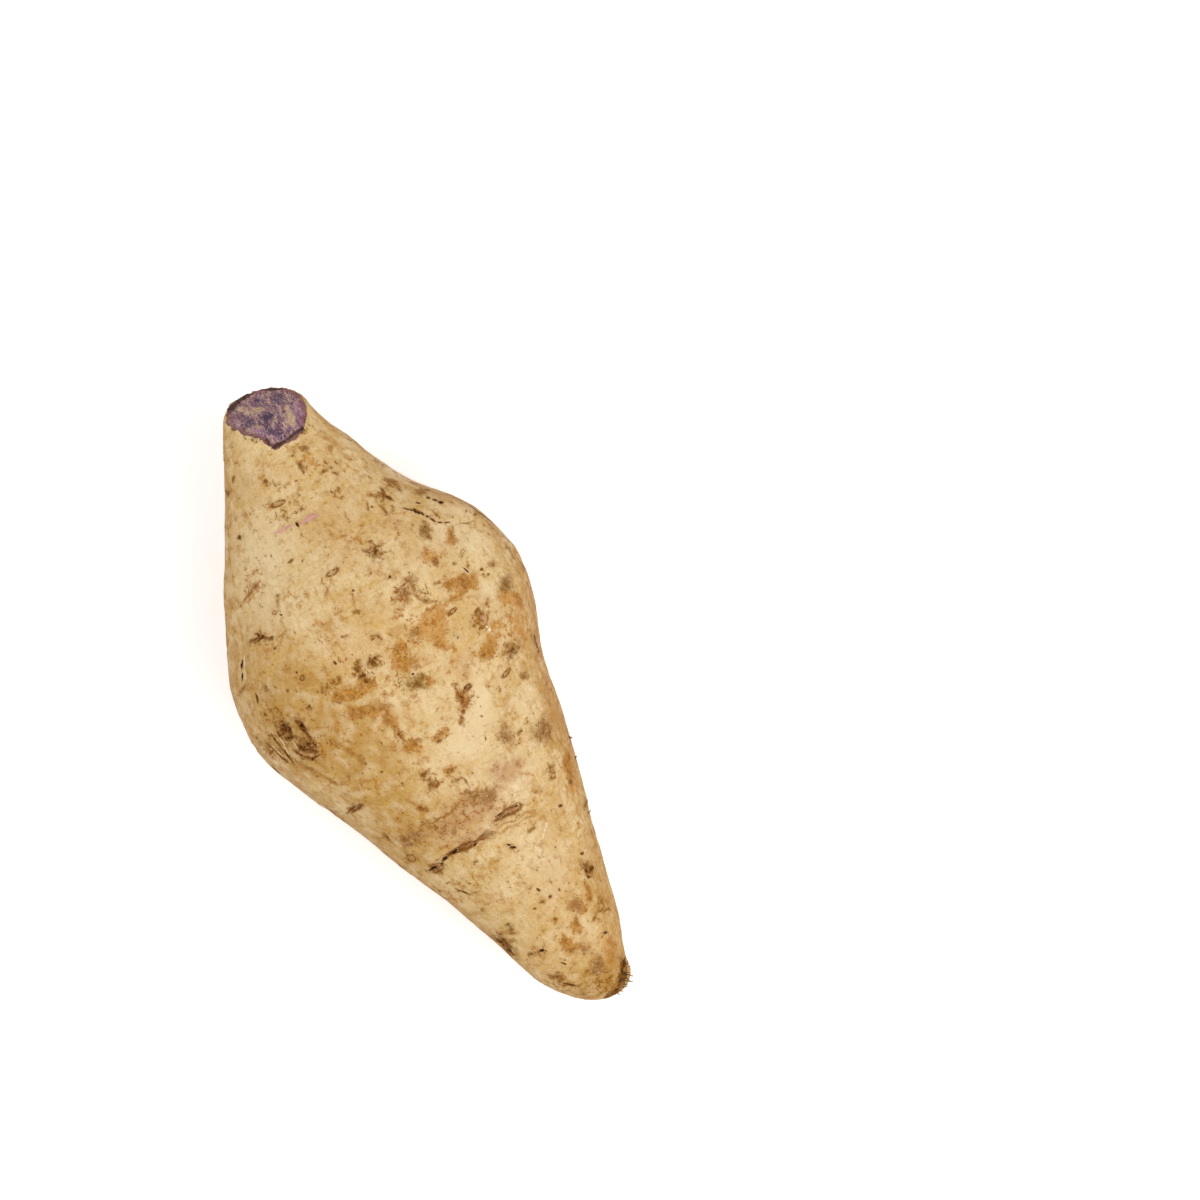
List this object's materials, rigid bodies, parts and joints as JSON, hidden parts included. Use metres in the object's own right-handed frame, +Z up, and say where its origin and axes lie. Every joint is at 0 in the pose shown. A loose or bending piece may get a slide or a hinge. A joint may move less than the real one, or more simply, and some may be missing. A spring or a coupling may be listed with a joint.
{
  "type": "purple sweet potato",
  "caption": "Spindle-shaped sweet potato root with pale tan, marked skin and an oblique cut at its vine end that shows the purple flesh.",
  "frame": {"origin": "on the surface the root lies on, under the middle of its box", "axes": "+X from the cut vine end to the root tip, +Y across the root, +Z up"},
  "size_m": [0.1552, 0.0718, 0.0614],
  "materials": {
    "skin": "dry, matt root skin with a faint waxy sheen"
  },
  "bodies": {
    "root": {"sweet_potato": "skin"}
  },
  "joints": []
}
